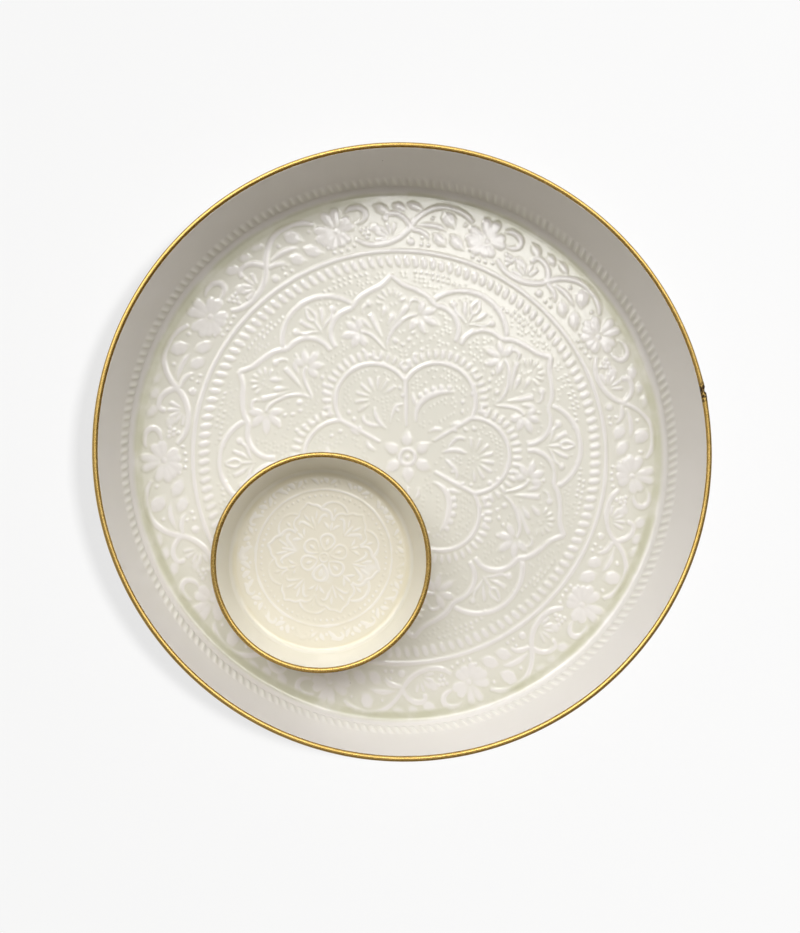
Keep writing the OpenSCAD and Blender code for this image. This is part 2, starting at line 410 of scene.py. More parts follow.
# %% Pointed petals, arches and sprays
FIGURE_TURN = 3.5
PETALS = 6
PETAL_GAP = 360 / PETALS
PETAL_EDGE = [(28.6, 87.0), (28.1, 94), (25.2, 101.6), (20.9, 106.2), (15.6, 107.2)]
PETAL_PEAK = [(15.6, 107.2), (12.4, 112), (8.0, 115.6), (3.6, 118.8), (0, 125.2)]
SPRAY_STEMS = [
    [(72.5, -6.5, 0.5), (79, -5.5, 0.9), (85, -2.7, 1), (91, 3, 1), (96, 11, 1), (96.5, 16, 0.9)],
    [(73, -7.5, 0.5), (78, -11, 0.9), (83, -15.5, 1), (86, -20.5, 1), (86, -24, 0.8)],
    [(99, -22, 0.6), (103, -21, 0.9), (105.5, -18, 0.9)],
    [(103, 11, 0.6), (107, 13, 0.9), (107, 17, 0.9), (103.5, 19.5, 0.6)],
]
SPRAY_CLUBS = [
    [(87, -4.5, 0.35), (94, 2, 0.75), (103, 10, 1.05)],
    [(82, -9.5, 0.35), (90, -13, 0.8), (98.5, -16.5, 1.05)],
    [(90, -5.2, 0.35), (96, -1.5, 1), (98.6, 0.4, 0.6)],
    [(96, -8.5, 0.4), (101, -6.3, 1), (104, -5, 0.6)],
    [(89, -17, 0.4), (93, -20.5, 0.9), (95.5, -23.5, 0.6)],
]
SPRAY_BUDS = [
    (79, 0, 2), (106, -16.8, 2.5), (76, 5, 1.4), (63, -9.4, 1.9), (67, -14, 1.9), (69.5, -18.5, 1.7),
    (73, -22.5, 1.5), (64, 8.5, 1.6), (68.5, 13, 1.7), (72, 18, 1.6), (79.5, 9.5, 1.5), (84, 12.5, 1.4),
    (79, -21, 1.4), (96, -28, 1.3), (84, 21, 1.3),
]
ARCH_BUD = [
    [(100.5, 0, 0.5), (106, 0, 0.9), (110, 0, 0.8)],
    [(110, 0, 0.8), (113, 2.5, 1), (118, 1.6, 1), (120.5, 0, 0.8), (118, -1.6, 1), (113, -2.5, 1),
     (110, 0, 0.8)],
]
ARCH_STEM = [(102, 1, 0.5), (104.5, 6, 0.9), (106, 10.5, 1), (109.5, 14, 0.9)]
ARCH_LEAF = [(105, 2.5, 0.4), (110, 6, 1), (115.5, 8.5, 0.9)]
ARCH_SPOTS = [(110.4, 15, 2.6), (110.4, -15, 2.6), (98, 4.5, 1.3), (98, -4.5, 1.3)]
CORNER_ROWS = (121.5, 124.8, 128)
CORNER_FROM, FROM_GAIN = 5, 1.4
CORNER_TO, TO_LOSS = 26, 3.4
PETAL_CLEAR, CLEAR_LOSS = 21, 2.6
CORNER_STEP = 1.75
CORNER_GRANULE = 1.05


def spray(side):
    """One spray with its two lobed leaves, as drawn or mirrored."""
    leaves = leaf(96, 17, heading=118, size=17) + leaf(86, -24, heading=-100, size=15)
    frond = fan(105.5, -1.5, near=5.5, far=10.5, start=-85, stop=75, count=7)
    return join([
        ridges(flip(SPRAY_STEMS, side), width=2.8),
        ridges(flip(SPRAY_CLUBS, side), width=4.4),
        ridges(flip(frond, side), width=2.9),
        ridges(flip(leaves, side), width=6.2),
        buds([(x, side * y, r) for x, y, r in SPRAY_BUDS]),
    ])


arch = join([
    ridges([arc(93.4, 0, 31.4, start=-64, stop=64, steps=12)], width=3.9),
    ridges(ARCH_BUD + both([ARCH_STEM]), width=2.3),
    ridges(both([ARCH_LEAF]), width=3.4),
    buds(ARCH_SPOTS),
])
corner_spots = []
for row, r in enumerate(CORNER_ROWS):
    for a in np.arange(CORNER_FROM + row * FROM_GAIN, CORNER_TO - row * TO_LOSS, CORNER_STEP):
        if a > PETAL_CLEAR - (r - CORNER_ROWS[0]) * CLEAR_LOSS:
            corner_spots += [(*polar(r, PETAL_GAP / 2 + side * a), CORNER_GRANULE) for side in (1, -1)]
outline = pointed_petal(PETAL_EDGE, PETAL_PEAK)
figure = join([
    ring_of(buds(corner_spots), PETALS, FIGURE_TURN),
    ring_of(ridges(outline, width=3.9), PETALS, PETAL_GAP / 2 + FIGURE_TURN),
    ring_of(arch, PETALS, FIGURE_TURN),
    ring_of(spray(1), PETALS // 2, PETAL_GAP / 2 + FIGURE_TURN),
    ring_of(spray(-1), PETALS // 2, PETAL_GAP * 1.5 + FIGURE_TURN),
])
print("petals, arches and sprays:", len(figure.data.polygons), "faces")

# %% [markdown]
# ## Beads and the ring line
#
# A row of slanted beads runs inside a plain raised ring. Round beads could be spheres, but the real ones are
# long grains, so one is drawn as a short line that swells in the middle, and an Array repeats it. The ring
# is a flattened torus.

# %% Beads and the ring line
BEADS = 138
BEAD_SLANT = 15
BEAD_AT = 135
BEAD_RAY = ((-3.9, 0.45), (-1.95, 0.95), (1.95, 1), (3.9, 0.55))
RING_LINE = 142.6

bead = ridges([ray(BEAD_AT, 0, BEAD_SLANT, BEAD_RAY)], width=4.5)
rings = join([ring_of(bead, BEADS), hoop(RING_LINE, width=3.4, sides=360)])
print("beads and ring:", len(rings.data.polygons), "faces")

# %% [markdown]
# ## The vine in the border
#
# Outside the ring line a vine comes back ten times, each time with stems, leaves, a blossom of five broad
# petals, a fern and a bunch of grapes. It could be drawn in place, but it is easier to picture unrolled, as
# degrees clockwise from the joint of the scrolls and millimetres from the middle, and one function turns
# these into places. The real border isn't evenly spaced, so the finished ring of vines is turned a little
# further on one side than on the other.

# %% The vine in the border
VINES = 10
VINE_FIRST = 17
VINE_DRIFT = 3.6
VINE_WIDEST = 195
VINE_FOOT = 145.5
VINE_STRETCH = 1.11
VINE_STEMS = [
    [(0, 158.5, 1), (-0.9, 162.2, 1), (-2.2, 165.4, 1), (-3.8, 166.9, 1), (-5.2, 166.2, 0.9),
     (-5.9, 163.8, 0.8)],
    [(0, 158.5, 1), (-1.2, 154.4, 1), (-3.4, 150.2, 1), (-6, 147.9, 1), (-8.7, 147.4, 1), (-11.2, 149, 1),
     (-13.4, 152.6, 0.8)],
    [(0, 158.5, 1), (1.5, 164.2, 1), (3.6, 169.4, 1), (6, 172.8, 1), (9, 173.6, 1), (12, 172, 1),
     (14.2, 168.6, 0.8)],
    [(1.6, 159.6, 0.5), (4.4, 160.6, 1), (7, 160.2, 0.9), (8.8, 159, 0.3)],
    [(0.4, 157, 0.8), (2.4, 156.2, 1), (3.8, 154.4, 0.9), (4.8, 151.6, 0.5)],
    [(21.4, 170.6, 0.5), (23.2, 172.6, 1), (25.2, 171.2, 1.1), (25.9, 167, 1.1), (24.8, 163.4, 0.9),
     (23.2, 162.2, 0.5)],
]
VINE_LEAVES = [
    [(7.2, 171, 0.3), (8.2, 168.2, 1.15), (9.2, 165, 1.1), (10.6, 161.4, 0.1)],
    [(5.4, 156.2, 0.15), (6.8, 153.6, 0.95), (8, 151.2, 0.9), (9.6, 149, 0.1)],
    [(9.6, 157.6, 0.2), (10.9, 154.8, 0.95), (12.2, 152.2, 0.95), (14.2, 149.6, 0.15)],
    [(-8.2, 172.6, 0.15), (-6.9, 170.8, 0.85), (-5.8, 168.8, 0.8), (-4.6, 166.4, 0.1)],
    [(-4, 172.8, 0.15), (-3, 171.6, 0.75), (-1.9, 170, 0.7), (-0.9, 168, 0.1)],
    [(-1, 173, 0.15), (0.3, 172.4, 0.7), (1.6, 171, 0.6), (2.8, 169.6, 0.1)],
    [(-9.4, 160.4, 0.2), (-8.4, 158.4, 0.8), (-7.6, 156.4, 0.7), (-6.8, 154.4, 0.1)],
]
BLOSSOM = (18.6, 160.2)
BLOSSOM_PETALS = [(96, 16.5), (176, 15), (226, 13.5), (292, 11.5), (22, 13)]
BLOSSOM_EYE = 2.3
VINE_BUDS = [
    (0.25, 149, 2.8), (3, 147.8, 1.3), (4.8, 147.8, 1.3), (16.6, 147.6, 1.3), (18.4, 147, 1.3),
    (20.2, 147.6, 1.3), (-5.7, 163.4, 2), (12.6, 165.6, 1.4), (5, 165.4, 1.4), (15.4, 151.4, 1.3),
    (3.2, 152, 1.2), (22, 149, 1.3),
]
GRAPES_AT = (25.4, 152.4)
GRAPE_GAP = (1.1, 2.7)
GRAPE_ROWS = 3
GRAPE_R = 1.6
FERN_AT = (-4.6, 151)


def on_border(u, r):
    """Place of a drawn point, with the drawing stretched to fill the border."""
    return polar(VINE_FOOT + (r - VINE_FOOT) * VINE_STRETCH, -u)


def border_lines(lines):
    return [[(*on_border(p[0], p[1]), *p[2:]) for p in line] for line in lines]


blossom = []
for heading, size in BLOSSOM_PETALS:
    blossom += broad_petal(*on_border(*BLOSSOM), heading - 90 - BLOSSOM[0], size)
grapes = []
for row in range(GRAPE_ROWS):
    for i in range(row + 1):
        u = GRAPES_AT[0] + GRAPE_GAP[0] * (i - row / 2)
        grapes.append((u, GRAPES_AT[1] + GRAPE_GAP[1] * row, GRAPE_R))
vine_spots = VINE_BUDS + grapes + [(*BLOSSOM, BLOSSOM_EYE)]
vine = join([
    ridges(border_lines(VINE_STEMS), width=4.2),
    ridges(border_lines(VINE_LEAVES), width=9),
    ridges(blossom, width=7.2),
    ridges(fan(*on_border(*FERN_AT), near=3, far=11, start=-10, stop=100, count=5), width=3.6),
    buds([(*on_border(u, r), size) for u, r, size in vine_spots]),
])
ring_of(vine, VINES, VINE_FIRST)
points = places(vine)
heading = np.arctan2(points[:, 1], points[:, 0])
away = np.hypot(points[:, 0], points[:, 1])
heading += radians(VINE_DRIFT) * np.cos(heading - radians(VINE_WIDEST))
points[:, 0] = away * np.cos(heading)
points[:, 1] = away * np.sin(heading)
place_points(vine, points)
print("vine:", len(vine.data.polygons), "faces")

# %% [markdown]
# ## Pressing tools
#
# To press a sheet, it is laid over the die, dropped on it with Shrinkwrap and smoothed, as the fired enamel
# rounds the struck steel. The relief runs out at the floor's edge, and a flat back makes the sheet a closed
# slab. A sheet could be a square grid, but a round one should be even right to its edge, so a hexagon of
# triangles is divided and each of its rings is rounded to a circle. Bands and walls are turned on a lathe,
# for which Blender has Screw.

# %% Pressing tools
DROP = 20
PRESS_ROUNDS = 3
EDGE_FADE = 1.5


def die_of(parts, pan, reach, shift=(0, 0)):
    """Joins the raised parts at a pan's floor and adds the flat ground they stand on."""
    select_only()
    bpy.ops.mesh.primitive_circle_add(vertices=64, radius=reach * MM, fill_type="NGON")
    block = bpy.context.object
    block = join([block] + parts)
    block.location = ((pan.centre[0] + shift[0]) * MM, (pan.centre[1] + shift[1]) * MM, pan.ground * MM)
    return settle(block)


def press(sheet, block):
    """Drops a sheet on a die from above and rounds it off, up and down only."""
    points = places(sheet)
    points[:, 2] += DROP * MM
    place_points(sheet, points)
    apply_modifier(sheet, "SHRINKWRAP", target=block, wrap_method="PROJECT", use_project_z=True,
                   use_negative_direction=True, use_positive_direction=False)
    apply_modifier(sheet, "SMOOTH", factor=0.5, iterations=PRESS_ROUNDS, use_x=False, use_y=False)


def fade_edge(sheet, pan, reach):
    """Lets the relief run out to the plain ground at a floor's edge."""
    points = places(sheet)
    off_edge = reach - np.hypot(*pan.offsets(points))
    fade = np.clip(off_edge / EDGE_FADE, 0, 1)
    points[:, 2] = pan.ground * MM + (points[:, 2] - pan.ground * MM) * fade
    place_points(sheet, points)


def fine_disc(name, pan, reach, rings):
    """A disc of even triangles, from a divided hexagon whose rings are rounded."""
    select_only()
    bpy.ops.mesh.primitive_circle_add(vertices=6, radius=reach * MM, fill_type="TRIFAN")
    disc = bpy.context.object
    disc.name = name
    bpy.ops.object.mode_set(mode="EDIT")
    bpy.ops.mesh.select_all(action="SELECT")
    bpy.ops.mesh.subdivide(number_cuts=rings // 2 - 1)
    bpy.ops.mesh.subdivide(number_cuts=1)
    bpy.ops.object.mode_set(mode="OBJECT")
    points = places(disc)
    angle = np.arctan2(points[:, 1], points[:, 0])
    away = np.hypot(points[:, 0], points[:, 1])
    corner = angle[away.argmax()]
    sector = np.floor((angle - corner) / (pi / 3))
    middle = corner + (sector + 0.5) * pi / 3
    across = away * np.cos(angle - middle)
    along = away * np.sin(angle - middle)
    r = across / cos(pi / 6)
    turn = middle + np.divide(along, r, out=np.zeros_like(r), where=r > 0) * pi / 3
    points[:, 0] = pan.centre[0] * MM + r * np.cos(turn)
    points[:, 1] = pan.centre[1] * MM + r * np.sin(turn)
    points[:, 2] = pan.ground * MM
    place_points(disc, points)
    return disc


def lathe(name, profile, steps, centre):
    """A turned piece: one corner is extruded along the profile, and Screw turns the line round the axis."""
    select_only()
    bpy.ops.mesh.primitive_plane_add(size=MM)
    piece = bpy.context.object
    piece.name = name
    bpy.ops.object.mode_set(mode="EDIT")
    bpy.ops.mesh.select_mode(type="VERT")
    bpy.ops.mesh.select_all(action="SELECT")
    bpy.ops.mesh.merge(type="CENTER")
    bpy.ops.transform.translate(value=(profile[0][0] * MM, 0, profile[0][1] * MM))
    for here, there in zip(profile, profile[1:]):
        step = ((there[0] - here[0]) * MM, 0, (there[1] - here[1]) * MM)
        bpy.ops.mesh.extrude_vertices_move(TRANSFORM_OT_translate={"value": step})
    bpy.ops.mesh.select_all(action="SELECT")
    bpy.ops.mesh.remove_doubles(threshold=1e-6)
    bpy.ops.object.mode_set(mode="OBJECT")
    settle(piece)
    apply_modifier(piece, "SCREW", axis="Z", angle=2 * pi, steps=steps, render_steps=steps,
                   use_merge_vertices=True, merge_threshold=1e-6)
    bpy.ops.object.mode_set(mode="EDIT")
    bpy.ops.mesh.select_all(action="SELECT")
    bpy.ops.mesh.normals_make_consistent(inside=False)
    bpy.ops.object.mode_set(mode="OBJECT")
    piece.location = (centre[0] * MM, centre[1] * MM, 0)
    return settle(piece)


def select_open_edges(sheet):
    """Goes into edit mode with just the open edges of a sheet selected."""
    select_only(sheet)
    bpy.ops.object.mode_set(mode="EDIT")
    bpy.ops.mesh.select_mode(type="EDGE")
    bpy.ops.mesh.select_all(action="DESELECT")
    bpy.ops.mesh.select_non_manifold(
        use_wire=False, use_multi_face=False, use_non_contiguous=False, use_verts=False)


def back_with_slab(sheet, back_z, band=False):
    """Closes a sheet: its edges go straight down to a flat back, filled on a disc, bridged on a band."""
    select_open_edges(sheet)
    bpy.ops.mesh.extrude_edges_move(TRANSFORM_OT_translate={"value": (0, 0, -PAN * MM)})
    bpy.ops.object.mode_set(mode="OBJECT")
    points = places(sheet)
    chosen = np.zeros(len(points), dtype=bool)
    sheet.data.vertices.foreach_get("select", chosen)
    points[chosen, 2] = back_z * MM
    place_points(sheet, points)
    select_open_edges(sheet)
    if band:
        bpy.ops.mesh.bridge_edge_loops()
    else:
        bpy.ops.mesh.edge_face_add()
    bpy.ops.mesh.select_all(action="SELECT")
    bpy.ops.mesh.normals_make_consistent(inside=False)
    bpy.ops.object.mode_set(mode="OBJECT")


print("pressing tools ready")

# %% [markdown]
# ## Granules between the lines
#
# The ground inside the row of beads is stippled with small granules wherever the drawing leaves room. They
# could be spheres of the die, but there are hundreds, so the pressed sheet is raised a little at each spot
# of a net. An even net would look woven: each spot strays a little, and a share of them is left out, as
# are those too near to a line or too far from any.

# %% Granules between the lines
GRANULE_R = 1.2
GRANULE_TALL = 0.16
GRANULE_SHARE = 0.7
GRANULE_STRAY = 0.35
GRANULE_STEP = 3.1
GRANULE_FROM, GRANULE_TO = 24, 131
NEAR_LINE, FAR_LINE = 2.3, 6.5
GRANULE_ROW = 0.9
SEED = 7


def finder(spots):
    """A search tree over flat spots in millimetres."""
    tree = KDTree(len(spots))
    for i, spot in enumerate(spots):
        tree.insert((spot[0], spot[1], 0), i)
    tree.balance()
    return tree


drawn = finder(np.vstack([places(part)[:, :2] for part in (flower, figure, rings)]) / MM)
chance = np.random.default_rng(SEED)
granule_spots = []
for row, r in enumerate(np.arange(GRANULE_FROM, GRANULE_TO, GRANULE_STEP * GRANULE_ROW)):
    count = int(2 * pi * r / GRANULE_STEP)
    for i in range(count):
        spot = polar(r, 360 * (i + row % 2 / 2) / count) + GRANULE_STRAY * chance.uniform(-1, 1, 2)
        free = NEAR_LINE < drawn.find((*spot, 0))[2] < FAR_LINE
        if free and chance.random() < GRANULE_SHARE:
            granule_spots.append(spot)
print("granules:", len(granule_spots))


def stipple(sheet, spots, shift):
    """Raises a pressed sheet at each spot."""
    tree = finder([(x + shift[0], y + shift[1]) for x, y in spots])
    points = places(sheet)
    off = np.array([tree.find((x, y, 0))[2] for x, y, z in points / MM])
    points[:, 2] += GRANULE_TALL * MM * np.clip(1 - (off / GRANULE_R) ** 2, 0, 1)
    place_points(sheet, points)


# %% [markdown]
# ## Pressing the tray's floor
#
# The floor could be one sheet, but it has to be fine enough to show a line three millimetres wide, and one
# such sheet would be too heavy. So there are two: a disc of even triangles under the flower and the petals,
# and a band of quads under the vine. The real die is struck a little off the middle of the pan. The disc
# moves with it, and the band is sheared, so that it meets the disc inside and the cove outside.

# %% Pressing the tray's floor
ORNAMENT_SHIFT = (-0.3, -1.6)
TRAY_DIE_REACH = 190
TRAY_FLOOR_GAP = 0.12
MEDALLION_REACH = 139.4
MEDALLION_RINGS = 180
BORDER_REACH = tray.floor_r - TRAY_FLOOR_GAP
BORDER_STEPS = 1600
BORDER_ROWS = 58

tray_die = die_of([flower, figure, rings, vine], tray, TRAY_DIE_REACH, ORNAMENT_SHIFT)
medallion = fine_disc("tray_floor_medallion", tray, MEDALLION_REACH, MEDALLION_RINGS)
border_line = [(r, tray.ground) for r in np.linspace(MEDALLION_REACH, BORDER_REACH, BORDER_ROWS + 1)]
border = lathe("tray_floor_border", border_line, BORDER_STEPS, tray.centre)
points = places(border)
reach = np.hypot(*tray.offsets(points))
inward = (BORDER_REACH - reach) / (BORDER_REACH - MEDALLION_REACH)
for axis, shift in enumerate(ORNAMENT_SHIFT):
    points[:, axis] += shift * inward * MM
    medallion.location[axis] = shift * MM
place_points(border, points)
settle(medallion)
for sheet in (medallion, border):
    press(sheet, tray_die)
    fade_edge(sheet, tray, BORDER_REACH)
bpy.data.objects.remove(tray_die)
stipple(medallion, granule_spots, ORNAMENT_SHIFT)
back_with_slab(medallion, tray.ground - COAT)
back_with_slab(border, tray.ground - COAT, band=True)
for sheet in (medallion, border):
    top = places(sheet)[:, 2].max() / MM
    print(sheet.name, len(sheet.data.polygons), "faces, crest at", round(float(top), 2))

# %% [markdown]
# ## The wall and its cove
#
# The coat climbs from the floor round a cove and up the wall. A cylinder could be bent into that shape, but
# a lathe gives it at once from its section: up the face, over the rounded lip and down the back. The rows
# of points are closest where the flutes come.

# %% The wall and its cove
LIP_ROUND = 0.12
FLUTES = 212
FLUTE_STEPS = 8
BELT_ROWS = [0.018 * i for i in range(1, 17)]
PLAIN_ROWS = [0.36, 0.46, 0.57, 0.68, 0.8, 0.9, 0.96, 1]
TRAY_COVE_STEPS = 18
BACK_STEPS = 5


def coat_section(pan, start_r, cove_steps, wall_rows):
    """Closed section of the inner coat from the floor's edge up to the rim: the face, then the back."""
    leaning = pi / 2 - pan.lean
    face = [(start_r, pan.ground)]
    face += [pan.cove_point(0, leaning * i / cove_steps) for i in range(cove_steps + 1)]
    foot, head = face[-1], pan.wall_top(0)
    for share in wall_rows:
        face.append((foot[0] + (head[0] - foot[0]) * share, foot[1] + (head[1] - foot[1]) * share))
    back_head = pan.wall_top(COAT)
    rounded = ((head[0] + back_head[0]) / 2, (head[1] + back_head[1]) / 2 + COAT * LIP_ROUND)
    back = [rounded, back_head]
    back += [pan.cove_point(COAT, leaning * i / BACK_STEPS) for i in range(BACK_STEPS, -1, -1)]
    back.append((start_r, pan.ground - COAT))
    return face, face + back + [face[0]]


face, section = coat_section(tray, BORDER_REACH, TRAY_COVE_STEPS, BELT_ROWS + PLAIN_ROWS)
wall = lathe("tray_inner_wall", section, FLUTES * FLUTE_STEPS, tray.centre)
print(wall.name, len(wall.data.polygons), "faces")

# %% [markdown]
# ## The belt of flutes
#
# Above the cove runs a belt of short slanted flutes, pressed from outside. Each could be shaped on its own,
# but they all follow one formula, so the face of the turned wall is swelled point by point. The belt is
# painted whiter, most on the flutes: partly the glaze running thin off them, partly painted light on the
# belt and painted highlights on the flute crests. So the share by which a point is raised is kept as an
# attribute of the mesh, which the enamel reads later.

# %% The belt of flutes
FLUTE_SWELL = 0.75
FLUTE_LOW = 7.4
FLUTE_LONG = 12.4
FLUTE_SLANT = 12
FLUTE_BLUNT = 0.6
RIB_SHARP = 1.5
BELT_R = 186
# Share of the whitening, thin glaze and painted light together, kept in the hollows between the flutes.
HOLLOW_WHITE_AND_LIGHT = 0.15
ON_FACE = 0.01

points = places(wall)
x, y = tray.offsets(points)
away = np.hypot(x, y)
heading = np.arctan2(y, x)
height = points[:, 2] / MM
face_steps = [hypot(b[0] - a[0], b[1] - a[1]) for a, b in zip(face, face[1:])]
run = np.concatenate([[0], np.cumsum(face_steps)])
face_points = np.array(face)
gap = np.hypot(away[:, None] - face_points[None, :, 0], height[:, None] - face_points[None, :, 1])
nearest = gap.argmin(axis=1)
on_face = gap.min(axis=1) < ON_FACE
along = run[nearest] - run[1] - FLUTE_LOW
share = np.clip(along / FLUTE_LONG, 0, 1)
envelope = np.sin(pi * share) ** FLUTE_BLUNT
bearing = heading - np.tan(radians(FLUTE_SLANT)) * along / BELT_R
wave = 0.5 + 0.5 * np.cos(bearing * FLUTES)
rib = np.where(on_face, wave ** RIB_SHARP, 0)
swell = FLUTE_SWELL * envelope * rib * MM
# Whitening of the belt, most on the ribs: thin glaze and painted highlight together.
raised = np.where(on_face, envelope * (HOLLOW_WHITE_AND_LIGHT + (1 - HOLLOW_WHITE_AND_LIGHT) * rib), 0)
turn_up = np.clip(run[nearest] - run[1], 0, (pi / 2 - tray.lean) * tray.cove) / tray.cove
points[:, 0] -= swell * np.sin(turn_up) * np.cos(heading)
points[:, 1] -= swell * np.sin(turn_up) * np.sin(heading)
points[:, 2] += swell * np.cos(turn_up)
place_points(wall, points)
wall.data.attributes.new("raised", "FLOAT", "POINT")
wall.data.attributes["raised"].data.foreach_set("value", raised.astype(np.float32))
print(FLUTES, "flutes, raised by up to", round(float(swell.max() / MM), 2), "mm")

# %% [markdown]
# ## The dish's ornament
#
# The dish is struck much shallower: a boss with six looped petals, a ring of pointed petals with arches and
# tufts between them, a row of beads, a ring line and a narrow border of scrolls. The tray's drawing could
# be shrunk, but the real dish has its own, so it is drawn with the same rules in thinner and lower lines,
# and shifted, because it too is struck off the middle.

# %% The dish's ornament
DISH_RELIEF = 0.18
DISH_SCALE = 1.02
DISH_SHIFT = (1.5, 2.4)
DISH_PETALS = 6
LOOP_TURN = 18
POINT_TURN = 47
DISH_ARCH_TURN = 17
DISH_BEADS, DISH_BEADS_AT = 66, 41.4
DISH_RING_LINE = 45.2
SCROLLS = 14
LOOP = [
    (4.4, 0, 0.8), (8, 3.4, 1), (12.5, 4.6, 1), (15.6, 0, 1), (12.5, -4.6, 1), (8, -3.4, 1), (4.4, 0, 0.8),
]
LOOP_HEART = [(8, 0, 0.6), (10.5, 0, 1.4), (12.6, 0, 0.7)]
DISH_EDGE = [(29, 25), (26, 29.5), (20, 31.6), (15, 31.8)]
DISH_PEAK = [(15, 31.8), (10, 34.6), (4, 36), (0, 38.2)]
DISH_STEM = [(19, 0, 0.6), (24, 0, 1), (28.5, 0, 0.8)]
DISH_LEAVES = [
    [(20, 1, 0.5), (24, 4, 1), (27, 8, 1), (25.4, 10, 0.7)],
    [(25, 1.6, 0.5), (28.5, 3.4, 1), (31.5, 4.6, 0.7)],
]
ARCH_HEART = [(29, 0, 0.5), (32, 0, 1.2), (34, 0, 0.6)]
TUFT = [(17.5, 0, 0.5), (21, 0, 1.2), (24.4, 0, 0.5)]
TUFT_SIDE = [(18.6, 1, 0.5), (21.5, 3.4, 1.2), (23, 5.6, 0.5)]
SCROLL_LINES = [
    [(48.6, -9, 0.6), (51.4, -6.5, 1), (54.6, -2.5, 1), (53.2, 1, 0.9), (50.2, 0.2, 0.7)],
    [(54.6, 3, 0.6), (51.6, 5, 1.2), (48.8, 8.4, 0.6)],
    [(49.4, 10.4, 0.6), (52, 11.4, 1.3), (54.8, 13.6, 0.7)],
    [(54.6, -8.2, 0.5), (54, -5.8, 1), (55.2, -3.8, 0.5)],
]
SCROLL_BUDS = [(54, 8, 1.5), (48.6, 3.8, 1.2), (50.8, 15, 1.3)]


def low_ridges(lines, width):
    return ridges(lines, width, DISH_RELIEF)


def low_buds(spots):
    return buds(spots, DISH_RELIEF)


def rolled_up(points):
    """Places of points that are given as (radius, degrees, size)."""
    return [(*polar(r, a), size) for r, a, size in points]


point_lines = pointed_petal(DISH_EDGE, DISH_PEAK) + [DISH_STEM] + both(DISH_LEAVES)
arch_line = arc(27.6, 0, 9.9, start=-62, stop=62, steps=8)
scroll = low_ridges([rolled_up(line) for line in SCROLL_LINES], width=3)
dish_figure = join([
    hoop(2.9, 1.4, DISH_RELIEF),
    low_buds([(0, 0, 0.9)]),
    ring_of(low_ridges([LOOP, LOOP_HEART], width=1.9), DISH_PETALS, LOOP_TURN),
    ring_of(low_ridges(point_lines, width=2.0), DISH_PETALS, POINT_TURN),
    ring_of(low_ridges([arch_line, ARCH_HEART], width=1.9), DISH_PETALS, DISH_ARCH_TURN),
    ring_of(low_ridges([TUFT] + both([TUFT_SIDE]), width=1.9), DISH_PETALS, DISH_ARCH_TURN),
    ring_of(low_buds([(DISH_BEADS_AT, 0, 1.0)]), DISH_BEADS),
    hoop(DISH_RING_LINE, 2.0, DISH_RELIEF, sides=180),
    ring_of(join([scroll, low_buds(rolled_up(SCROLL_BUDS))]), SCROLLS),
])
shift_part(dish_figure, DISH_SHIFT, size=DISH_SCALE)
print("dish's ornament:", len(dish_figure.data.polygons), "faces")

# %% [markdown]
# ## The dish's floor and wall
#
# The dish is made like the tray, without flutes. Copies of the tray's pieces could be shrunk, but the coat
# would shrink with them, so the same tools press a new floor and turn a new wall at the dish's own sizes.

# %% The dish's floor and wall
DISH_DIE_REACH = 64
DISH_FLOOR_GAP = 0.3
DISH_FLOOR_REACH = dish.floor_r - DISH_FLOOR_GAP
DISH_RINGS = 140
DISH_COVE_STEPS = 14
DISH_WALL_ROWS = [0.1, 0.25, 0.4, 0.55, 0.7, 0.85, 0.95, 1]
DISH_STEPS = 720

dish_die = die_of([dish_figure], dish, DISH_DIE_REACH)
dish_floor = fine_disc("dish_floor", dish, DISH_FLOOR_REACH, DISH_RINGS)
press(dish_floor, dish_die)
bpy.data.objects.remove(dish_die)
fade_edge(dish_floor, dish, DISH_FLOOR_REACH)
back_with_slab(dish_floor, dish.ground - COAT)
_, section = coat_section(dish, DISH_FLOOR_REACH, DISH_COVE_STEPS, DISH_WALL_ROWS)
dish_wall = lathe("dish_inner_wall", section, DISH_STEPS, dish.centre)
for piece in (dish_floor, dish_wall):
    print(piece.name, len(piece.data.polygons), "faces")

# %% [markdown]
# ## The gilded edgings
#
# A sleeve of thin metal is rolled over each curled edge. It could start as a torus, but the lathe already
# turns any open section, so an arc that leaves out the wall's side is turned and gets its thickness from
# Solidify. A slow wave in its skin, which only ever moves it inward, keeps it from looking machined. On the
# tray the two ends of the sleeve meet in a rough butt joint at the right, with a notch between two lips.

# %% The gilded edgings
SLEEVE = 0.4
SLEEVE_SIDES = 34
WAVE_DEEP = 0.1
WAVE_SCALE = 9
TRAY_EDGING_STEPS = 900
DISH_EDGING_STEPS = 360
JOINT_AT = 10.6
JOINT_LIP = 0.6
JOINT_NOTCH = 0.5
LIP_LONG = 6.5
NOTCH_AT, NOTCH_LONG = 1.2, 1.3
RAGGED = 0.35
RAGGED_ALONG, RAGGED_UP = 1.9, 3
OUTER_SIDE = 0.5


def edging(name, pan, steps):
    """An open sleeve round the rim of a pan."""
    start = pi - pan.lean
    stop = start + acos((CURL_R - STEEL) / BEAD_R)
    profile = []
    for turn in np.linspace(stop, start + 2 * pi, SLEEVE_SIDES + 1):
        profile.append((pan.rim[0] + BEAD_R * cos(turn), pan.rim[1] + BEAD_R * sin(turn)))
    sleeve = lathe(name, profile, steps, pan.centre)
    clouds = bpy.data.textures.new(name + "_wave", "CLOUDS")
    clouds.noise_scale = WAVE_SCALE * MM
    apply_modifier(sleeve, "DISPLACE", texture=clouds, texture_coords="LOCAL", mid_level=1,
                   strength=WAVE_DEEP * MM)
    return sleeve


